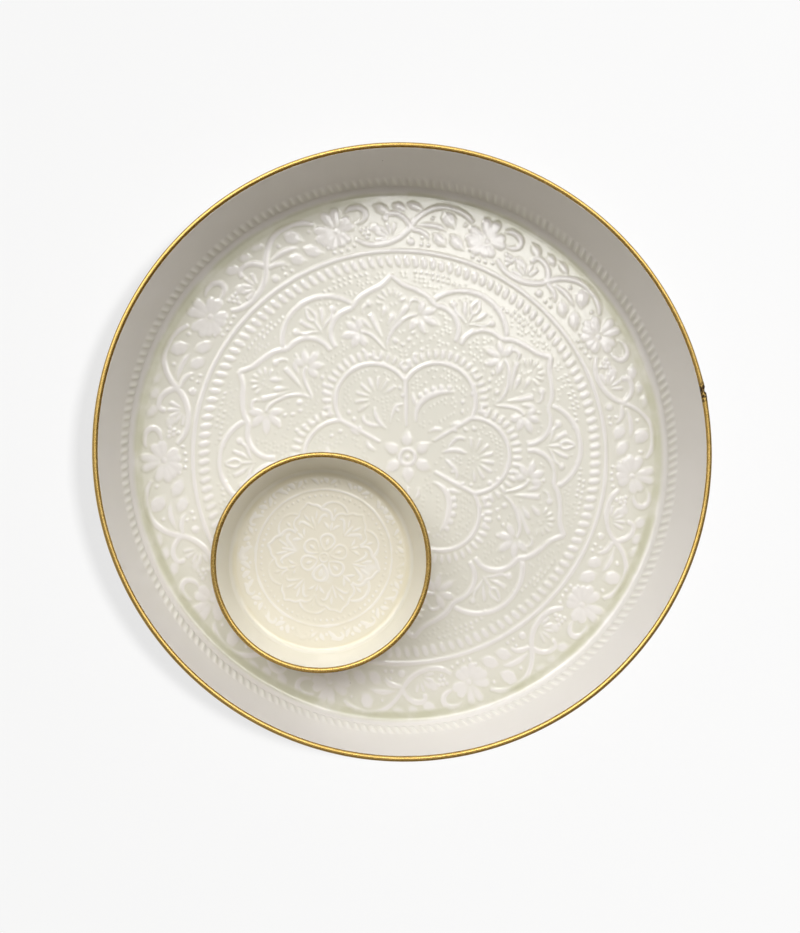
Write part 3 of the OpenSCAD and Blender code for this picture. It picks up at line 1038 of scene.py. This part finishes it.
def butt_joint(sleeve, pan, bearing):
    """Roughens a sleeve where its two ends meet: a notch between two swollen lips, on the outer side."""
    points = places(sleeve)
    x, y = pan.offsets(points)
    along = (np.arctan2(y, x) - radians(bearing)) * pan.radius
    out = np.clip((np.hypot(x, y) - pan.rim[0]) / BEAD_R + OUTER_SIDE, 0, 1)
    ragged = 1 - RAGGED + RAGGED * np.sin(along * RAGGED_ALONG + points[:, 2] / MM * RAGGED_UP)
    lips = JOINT_LIP * np.exp(-(along / LIP_LONG) ** 2) * ragged
    notch = (JOINT_LIP + JOINT_NOTCH) * np.exp(-((along - NOTCH_AT) / NOTCH_LONG) ** 2)
    swell = out * (lips - notch) * MM
    points[:, 0] += swell * cos(radians(bearing))
    points[:, 1] += swell * sin(radians(bearing))
    place_points(sleeve, points)


tray_edging = edging("tray_gilded_edging", tray, TRAY_EDGING_STEPS)
dish_edging = edging("dish_gilded_edging", dish, DISH_EDGING_STEPS)
butt_joint(tray_edging, tray, JOINT_AT)
for sleeve in (tray_edging, dish_edging):
    apply_modifier(sleeve, "SOLIDIFY", thickness=(SLEEVE - WAVE_DEEP) * MM, offset=-1)
    print(sleeve.name, len(sleeve.data.polygons), "faces")

# %% [markdown]
# ## Smooth shading
#
# Enamel has no facets. Ever finer meshes would come close to that, but shading the faces smooth is lighter.
# Where two faces meet sharply, as at the flat backs, the edge is kept.

# %% Smooth shading
SHARP = 50
for piece in (medallion, border, wall, dish_floor, dish_wall, tray_edging, dish_edging):
    select_only(piece)
    bpy.ops.object.shade_smooth_by_angle(angle=radians(SHARP))
print("shaded smooth up to", SHARP, "degrees")

# %% [markdown]
# ## Finishes: formulas made of nodes
#
# A finish is a net of shader nodes. Each node could be added and linked line by line, but a sum of two
# products then takes six lines. A small class stands for a node's output instead: Python's own signs
# between such wires add the math nodes, so a finish reads like the formula that it is.

# %% Formulas made of nodes
class Wire:
    """A node's output, which Python's signs join to other wires and to numbers."""

    def __init__(self, socket):
        self.socket = socket
        self.tree = socket.id_data

    def math(self, operation, *others):
        values = dict(enumerate((self, *others)))
        return Wire(add_node(self.tree, "ShaderNodeMath", values, operation=operation).outputs[0])

    def __add__(self, other):
        return self.math("ADD", other)

    def __sub__(self, other):
        return self.math("SUBTRACT", other)

    def __rsub__(self, number):
        values = {0: number, 1: self}
        return Wire(add_node(self.tree, "ShaderNodeMath", values, operation="SUBTRACT").outputs[0])

    def __mul__(self, other):
        return self.math("MULTIPLY", other)

    def __truediv__(self, other):
        return self.math("DIVIDE", other)

    def __pow__(self, other):
        return self.math("POWER", other)

    def __lt__(self, other):
        return self.math("LESS_THAN", other)

    def __abs__(self):
        return self.math("ABSOLUTE")

    def ramp(self, low, high):
        """Goes smoothly from 0 at the low value to 1 at the high one."""
        values = {0: self, 1: low, 2: high}
        node = add_node(self.tree, "ShaderNodeMapRange", values, interpolation_type="SMOOTHSTEP")
        return Wire(node.outputs[0])

    def mix(self, first, second):
        """Mixes two colours, with this wire as the share of the second."""
        values = {0: self, 6: first, 7: second}
        return Wire(add_node(self.tree, "ShaderNodeMix", values, data_type="RGBA").outputs[2])

    def axes(self):
        """The three parts of a vector."""
        return [Wire(part) for part in add_node(self.tree, "ShaderNodeSeparateXYZ", {0: self}).outputs]

    def noise(self, scale, detail):
        """Cloudy noise at a place."""
        values = {"Vector": self, "Scale": scale, "Detail": detail}
        return Wire(add_node(self.tree, "ShaderNodeTexNoise", values).outputs["Fac"])


def feed(slot, value):
    """Links a wire to an input, or sets the input to a plain value."""
    if isinstance(value, Wire):
        slot.id_data.links.new(value.socket, slot)
    else:
        slot.default_value = value


def add_node(tree, kind, values, **settings):
    """Adds a node, sets it up and feeds its inputs."""
    node = tree.nodes.new(kind)
    for key, value in settings.items():
        setattr(node, key, value)
    for slot, value in values.items():
        feed(node.inputs[slot], value)
    return node


print("wires ready")

# %% [markdown]
# ## Finishes: pooled glaze
#
# Molten enamel runs off the crests and pools in the hollows, where it looks thicker and greener. The colours
# could be painted on, but they follow from the shape. The shared group reads the height of a point over the
# floor and mixes a crest colour with a pool colour. A patchy moat at the floor's edge, where the glaze
# gathers in the cove, is darker, and so are the hollows on its inner shore. Raised flutes are whiter, partly
# from thin glaze and partly as painted highlight, and a few dark pinholes are scattered over everything.

# %% Pooled glaze group
CLOUD_SCALE, RIPPLE_SCALE, GRAIN_SCALE = 45, 130, 900
UNEVEN = 0.0006
MOAT_CORE = 0.25
CLOUD_LOW, CLOUD_HIGH = 0.2, 0.6
SHORE_FROM, SHORE_TO = -3.5, -0.4
SHORE_SHARE = 0.34
# Whiter colour of the flute belt, for thin glaze and painted highlight.
FLUTE_WHITE_AND_HIGHLIGHT = (0.90, 0.88, 0.83, 1)
PINHOLE_SCALE = 55
PINHOLE_R = 0.022
PINHOLE_SHARE = 0.14
PINHOLE_DEPTH = 0.7
PINHOLE_COLOUR = (0.2, 0.15, 0.09, 1)
GLOSS = 0.07
GRAIN_DULL, RIPPLE_DULL = 0.05, 0.07
GRAIN_BUMP = 0.25
GLAZE_SOCKETS = (
    ("INPUT", "NodeSocketVector", ("Place",)),
    ("INPUT", "NodeSocketColor", ("Crest Colour", "Pool Colour", "Moat Colour")),
    ("INPUT", "NodeSocketFloat", ("Ground", "Crest", "Moat Radius", "Moat Width", "Raised")),
    ("OUTPUT", "NodeSocketColor", ("Colour",)),
    ("OUTPUT", "NodeSocketFloat", ("Roughness", "Ripple")),
)

glaze = bpy.data.node_groups.new("pooled glaze", "ShaderNodeTree")
for way, kind, names in GLAZE_SOCKETS:
    for name in names:
        glaze.interface.new_socket(name=name, in_out=way, socket_type=kind)
given = {socket.name: Wire(socket) for socket in glaze.nodes.new("NodeGroupInput").outputs}
result = glaze.nodes.new("NodeGroupOutput").inputs
place = given["Place"]
x, y, z = place.axes()
cloudy = place.noise(CLOUD_SCALE, detail=3)
fine = place.noise(GRAIN_SCALE, detail=2)
broad = place.noise(RIPPLE_SCALE, detail=2)
pooled = 1 - (z + (cloudy - 0.5) * UNEVEN).ramp(given["Ground"], given["Crest"])
off_moat = (x ** 2 + y ** 2).math("SQRT") - given["Moat Radius"]
moat = 1 - (abs(off_moat) / given["Moat Width"]).ramp(MOAT_CORE, 1)
moat = moat * cloudy.ramp(CLOUD_LOW, CLOUD_HIGH)
shore = (off_moat / given["Moat Width"]).ramp(SHORE_FROM, SHORE_TO) * pooled * SHORE_SHARE
moat = moat.math("MAXIMUM", shore * (off_moat < 0))
colour = pooled.mix(given["Crest Colour"], given["Pool Colour"])
colour = moat.mix(colour, given["Moat Colour"])
# Painted highlight in part: the flute belt is mixed towards a whiter colour by its raised share.
colour = given["Raised"].mix(colour, FLUTE_WHITE_AND_HIGHLIGHT)
cells = add_node(glaze, "ShaderNodeTexVoronoi", {"Vector": place, "Scale": PINHOLE_SCALE}).outputs
tint = add_node(glaze, "ShaderNodeSeparateColor", {0: Wire(cells["Color"])}).outputs[0]
pinhole = (Wire(cells["Distance"]) < PINHOLE_R) * (Wire(tint) < PINHOLE_SHARE)
feed(result["Colour"], (pinhole * PINHOLE_DEPTH).mix(colour, PINHOLE_COLOUR))
feed(result["Roughness"], fine * GRAIN_DULL + broad * RIPPLE_DULL + GLOSS)
feed(result["Ripple"], fine * GRAIN_BUMP + broad)
print("group", glaze.name, "with", len(glaze.nodes), "nodes")

# %% [markdown]
# ## Finishes: ivory and cream enamel
#
# The tray is ivory and the dish cream. The dish's wall takes a darker, yellower copy of the cream: painted
# shade, standing in for the warm shade on its wall. One enamel could be tinted in three ways, but each
# finish uses the pooled glaze with its own colours, which is easier to tune.
# The gloss comes from the shader itself, with a clear coat, and a very low ripple keeps the reflections from
# being mirror straight.

# %% Ivory and cream enamel
GROUND_LEVEL = 0.05
RIPPLE_STRENGTH = 0.12
RIPPLE_DEEP = 0.3
GLASS_IOR = 1.52
COAT_WEIGHT, COAT_ROUGHNESS = 0.2, 0.06
IVORY = {"crest": (0.785, 0.755, 0.723), "pool": (0.723, 0.702, 0.622), "moat": (0.57, 0.56, 0.42)}
CREAM = {"crest": (0.85, 0.815, 0.745), "pool": (0.80, 0.755, 0.635), "moat": (0.77, 0.715, 0.55)}
# Painted shade: the dish's wall takes a darker, yellower crest colour than its floor.
CREAM_SHADED_WALL = {**CREAM, "crest": (0.82, 0.785, 0.68)}
TRAY_POOL = {"crest_height": 0.4, "moat_radius": 179.3, "moat_width": 5}
DISH_POOL = {"crest_height": 0.14, "moat_radius": 58.6, "moat_width": 2.4}


def new_finish(name, pan, ground):
    """A new material, its shader, and the place of a point seen from a pan's axis and a ground."""
    material = bpy.data.materials.new(name)
    material.use_nodes = True
    tree = material.node_tree
    place = Wire(tree.nodes.new("ShaderNodeTexCoord").outputs["Object"])
    shift = (-pan.centre[0] * MM, -pan.centre[1] * MM, -ground * MM)
    centred = add_node(tree, "ShaderNodeMapping", {"Vector": place, "Location": shift})
    return material, tree.nodes["Principled BSDF"], Wire(centred.outputs[0])


def bump(shader, height, strength, deep):
    """Bends a shader's normal by a height, for a depth in millimetres."""
    values = {"Height": height, "Strength": strength, "Distance": deep * MM}
    node = add_node(shader.id_data, "ShaderNodeBump", values)
    feed(shader.inputs["Normal"], Wire(node.outputs[0]))


def enamel(name, pan, crest, pool, moat, crest_height, moat_radius, moat_width):
    """A glossy vitreous enamel for one pan."""
    material, shader, place = new_finish(name, pan, pan.ground)
    raised = add_node(material.node_tree, "ShaderNodeAttribute", {}, attribute_name="raised")
    effect = add_node(material.node_tree, "ShaderNodeGroup", {}, node_tree=glaze)
    values = {
        "Place": place, "Crest Colour": (*crest, 1), "Pool Colour": (*pool, 1), "Moat Colour": (*moat, 1),
        "Ground": GROUND_LEVEL * MM, "Crest": crest_height * MM, "Moat Radius": moat_radius * MM,
        "Moat Width": moat_width * MM, "Raised": Wire(raised.outputs["Fac"]),
    }
    for key, value in values.items():
        feed(effect.inputs[key], value)
    feed(shader.inputs["Base Color"], Wire(effect.outputs["Colour"]))
    feed(shader.inputs["Roughness"], Wire(effect.outputs["Roughness"]))
    bump(shader, Wire(effect.outputs["Ripple"]), RIPPLE_STRENGTH, RIPPLE_DEEP)
    shader.inputs["IOR"].default_value = GLASS_IOR
    shader.inputs["Coat Weight"].default_value = COAT_WEIGHT
    shader.inputs["Coat Roughness"].default_value = COAT_ROUGHNESS
    return material


ivory = enamel("ivory enamel", tray, **IVORY, **TRAY_POOL)
# The dish's wall gets the copy of the cream with painted shade.
cream_wall_shaded = enamel("cream enamel with painted shade", dish, **CREAM_SHADED_WALL, **DISH_POOL)
cream = enamel("cream enamel", dish, **CREAM, **DISH_POOL)
print("enamels:", ivory.name, "and", cream.name)

# %% [markdown]
# ## Finishes: gilding and steel
#
# The gilding is brushed along the rim. Straight scratches could be stretched noise, but these follow the
# angle round the pan, so they are drawn in cylinder coordinates: fine across the section, long along the
# rim. The flank that turns from the light gets painted shade, a darker gold with a ragged edge, and the
# joint of the tray's edging is pitted. The steel inside the coats is brushed in the same way.

# %% Gilding and steel
HAIR_LONG = 0.02
HAIR_SCALE, WORN_SCALE, PIT_SCALE = 2600, 60, 700
HAIR_SHARE = 0.6
TONE_LOW, TONE_HIGH = 0.25, 0.75
# Painted shade on the gilding: the way the darkened flank faces, the share of wear noise in its edge, and
# the span over which it darkens.
SHADED_SIDE = (0.6, -0.8)
PAINTED_SHADE_WORN = 0.2
PAINTED_SHADE_LOW, PAINTED_SHADE_HIGH = 0.35, 0.7
JOINT_NEAR, JOINT_FAR = 0.015, 0.06
PIT_CROWD = 0.22
PIT_LOW, PIT_HIGH = 0.58, 0.7
PIT_COLOUR = (0.06, 0.035, 0.015, 1)
HAIR_DULL = 0.12
SCRATCH_STRENGTH = 0.1
SCRATCH_DEEP = 0.1


def brushed(name, pan, dark, light, roughness, painted_shade=None, joint=None):
    """A brushed metal whose scratches run round a pan's axis, with painted shade on one flank and a pitted
    joint.
    """
    material, shader, place = new_finish(name, pan, 0)
    x, y, z = place.axes()
    away = (x ** 2 + y ** 2).math("SQRT")
    bearing = y.math("ARCTAN2", x)
    values = {0: bearing * HAIR_LONG, 1: away, 2: z}
    rolled = Wire(add_node(material.node_tree, "ShaderNodeCombineXYZ", values).outputs[0])
    hair = rolled.noise(HAIR_SCALE, detail=4)
    worn = place.noise(WORN_SCALE, detail=3)
    tone = hair * HAIR_SHARE + worn * (1 - HAIR_SHARE)
    colour = tone.ramp(TONE_LOW, TONE_HIGH).mix((*dark, 1), (*light, 1))
    # Painted shade: the flank of the bead that faces one fixed way is darkened, standing in for the dim room
    # that it reflects.
    if painted_shade:
        aside = (away - pan.rim[0] * MM) / (BEAD_R * MM)
        facing = (x * SHADED_SIDE[0] + y * SHADED_SIDE[1]) / away
        turned = aside * facing + worn * PAINTED_SHADE_WORN
        colour = turned.ramp(PAINTED_SHADE_LOW, PAINTED_SHADE_HIGH).mix(colour, (*painted_shade, 1))
    if joint is not None:
        near = 1 - abs(bearing - radians(joint)).ramp(JOINT_NEAR, JOINT_FAR)
        pits = (place.noise(PIT_SCALE, detail=3) + near * PIT_CROWD).ramp(PIT_LOW, PIT_HIGH)
        colour = (pits * near).mix(colour, PIT_COLOUR)
    feed(shader.inputs["Base Color"], colour)
    feed(shader.inputs["Roughness"], hair * HAIR_DULL + roughness)
    bump(shader, hair, SCRATCH_STRENGTH, SCRATCH_DEEP)
    shader.inputs["Metallic"].default_value = 1
    return material


DULL_GOLD = (0.38, 0.245, 0.066)
BRIGHT_GOLD = (0.50, 0.35, 0.118)
# Colour of the painted shade on the gilding's flank.
SHADED_GOLD = (0.28, 0.165, 0.038)
GOLD_ROUGHNESS = 0.21
DARK_STEEL = (0.3, 0.3, 0.31)
LIGHT_STEEL = (0.5, 0.5, 0.51)
STEEL_ROUGHNESS = 0.3
GOLD = (DULL_GOLD, BRIGHT_GOLD, GOLD_ROUGHNESS, SHADED_GOLD)
BARE_STEEL = (DARK_STEEL, LIGHT_STEEL, STEEL_ROUGHNESS)
tray_gilding = brushed("gilding of the tray", tray, *GOLD, joint=JOINT_AT)
dish_gilding = brushed("gilding of the dish", dish, *GOLD)
tray_steel = brushed("steel of the tray", tray, *BARE_STEEL)
dish_steel = brushed("steel of the dish", dish, *BARE_STEEL)
print("metals:", tray_gilding.name, "and", tray_steel.name)

# %% [markdown]
# ## Dressing the pieces
#
# Each new piece takes its finish and rides on its body, and the solid it stands for is hidden. The solids
# that stay could be copied and dressed, but giving them a finish in their own material slots is enough.

# %% Dressing the pieces
def dress(obj, finish):
    obj.data.materials.clear()
    obj.data.materials.append(finish)


for piece in (medallion, border, wall):
    dress(piece, ivory)
    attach(piece, "tray")
    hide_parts("tray_inner_enamel")
for piece in (dish_floor, dish_wall):
    dress(piece, cream if piece is dish_floor else cream_wall_shaded)
    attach(piece, "dish")
    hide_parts("dish_inner_enamel")
for piece, finish, body, node in ((tray_edging, tray_gilding, "tray", "tray_rim_band"),
                                  (dish_edging, dish_gilding, "dish", "dish_rim_band")):
    dress(piece, finish)
    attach(piece, body)
    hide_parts(node)
for node, finish in (("tray_pan", tray_steel), ("tray_rim_wire", tray_steel), ("dish_pan", dish_steel),
                     ("dish_rim_wire", dish_steel), ("tray_outer_enamel", ivory),
                     ("dish_outer_enamel", cream)):
    dress(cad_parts[node], finish)
print("pieces dressed")

# %% [markdown]
# ## The floor
#
# The set stands on pale paper. More light could make it white, but the enamel would then be lit too much. So
# the paper shows its own pale colour to the camera and in reflections, and keeps a share of real light, in
# which the shadow of the tray stays.

# %% The floor
BACKDROP = 0.98
PAPER = 0.9
PAPER_SIZE = 12
PAPER_DROP = 0.0002
PAPER_GLOW = 0.76

select_only()
bpy.ops.mesh.primitive_plane_add(size=PAPER_SIZE, location=(0, 0, -PAPER_DROP))
floor = bpy.context.object
floor.name = "studio_floor"
paper = bpy.data.materials.new("pale paper")
paper.use_nodes = True
tree = paper.node_tree
matt = tree.nodes["Principled BSDF"]
matt.inputs["Base Color"].default_value = (PAPER, PAPER, PAPER, 1)
matt.inputs["Roughness"].default_value = 0.9
matt.inputs["Specular IOR Level"].default_value = 0.1
glow = add_node(tree, "ShaderNodeEmission", {"Color": (BACKDROP, BACKDROP, BACKDROP, 1)})
rays = tree.nodes.new("ShaderNodeLightPath").outputs
seen = Wire(rays["Is Camera Ray"])
for kind in ("Is Glossy Ray", "Is Transmission Ray"):
    seen = seen.math("MAXIMUM", Wire(rays[kind]))
shares = {0: seen * PAPER_GLOW, 1: Wire(matt.outputs[0]), 2: Wire(glow.outputs[0])}
blend = add_node(tree, "ShaderNodeMixShader", shares)
feed(tree.nodes["Material Output"].inputs["Surface"], Wire(blend.outputs[0]))
dress(floor, paper)
print("floor", PAPER_SIZE, "m wide")

# %% [markdown]
# ## The sky
#
# The room round the set is an even sky. An image of a room could light it, but a few terms do: a weak warm
# glow everywhere, a brighter side that only reflections see, and plain white for the camera.

# %% The sky
AMBIENT = 0.1
MIRRORED = 0.4
ROOM = 0.22
BRIGHT_SIDE = (-0.45, 0.85, 0.28)
SIDE_LOW, SIDE_HIGH = -0.2, 0.9
WARM, WHITE = (1, 0.95, 0.86, 1), (1, 1, 1, 1)

world = bpy.data.worlds.new("studio")
bpy.context.scene.world = world
world.use_nodes = True
tree = world.node_tree
sky = tree.nodes["Background"]
rays = tree.nodes.new("ShaderNodeLightPath").outputs
to_camera = Wire(rays["Is Camera Ray"])
in_mirror = Wire(rays["Is Glossy Ray"])
feed(sky.inputs["Color"], to_camera.mix(WARM, WHITE))
looking = Wire(tree.nodes.new("ShaderNodeTexCoord").outputs["Generated"])
facing = add_node(tree, "ShaderNodeVectorMath", {0: looking, 1: BRIGHT_SIDE}, operation="DOT_PRODUCT")
bright = Wire(facing.outputs["Value"]).ramp(SIDE_LOW, SIDE_HIGH) * in_mirror
mirrored = bright * MIRRORED + in_mirror * ROOM
shown = to_camera * (BACKDROP - AMBIENT)
feed(sky.inputs["Strength"], mirrored + (shown + AMBIENT))
print("sky of", len(tree.nodes), "nodes")

# %% [markdown]
# ## The lamps
#
# Daylight comes from windows behind the set, stronger at the left, so the wall nearest to them is in shade.
# One big lamp could do, but a row of soft ones gives the enamel its broken highlights. A weak warm lamp
# fills in from the front. None of these lights the floor: light linking keeps them off it, and gives it a
# lamp of its own at the right, so that the tray's shadow falls to the left.

# %% The lamps
AIM = (0, 0, 0.02)
PALE, WARM_FILL = (1, 1, 1), (1, 0.88, 0.72)


def softbox(name, place, size, power, aim=AIM, colour=PALE):
    """A rectangular lamp turned towards a point."""
    select_only()
    bpy.ops.object.light_add(type="AREA", location=place)
    lamp = bpy.context.object
    lamp.name = name
    lamp.data.shape = "RECTANGLE"
    lamp.data.size, lamp.data.size_y = size
    lamp.data.energy = power
    lamp.data.color = colour
    away = [p - a for p, a in zip(place, aim)]
    tilt = atan2(hypot(away[0], away[1]), away[2])
    lamp.rotation_euler = (tilt, 0, atan2(away[0], -away[1]))
    return lamp


windows = [
    softbox("window left", (-1.28, 1.28, 1.81), (1.44, 1.44), 24.8),
    softbox("window right", (1.28, 1.28, 1.81), (1.44, 1.44), 15.4),
    softbox("window low", (0, 2.32, 1.09), (2.24, 0.96), 10.8),
    softbox("window high", (0, 0.83, 2.42), (2.24, 1.76), 12.5),
    softbox("window pane", (-0.25, 1.4, 2.2), (0.7, 0.5), 9),
    softbox("front fill", (0, -1.28, 2.22), (1.92, 0.96), 4.6, colour=WARM_FILL),
    softbox("sheen", (0.44, 0.82, 2.4), (0.8, 0.38), 5.6, aim=(0.06, 0.15, 0)),
]
side = softbox("side light on the floor", (1.35, 0.15, 3.4), (0.5, 0.5), 120, aim=(0, 0, 0))
for lamp in windows:
    select_only(lamp, floor)
    bpy.ops.object.light_linking_receivers_link(link_state="EXCLUDE")
select_only(side, floor)
bpy.ops.object.light_linking_receivers_link(link_state="INCLUDE")
bpy.context.scene.view_settings.view_transform = "Standard"
print(len(windows), "lamps on the set and one on the floor")

# %% [markdown]
# ## Measure and hand over
# The scene's view layer is updated, so that every piece stands where its last change put it. The visible
# model must keep inside the measured solids' box.

# %% Final update
bpy.context.view_layer.update()
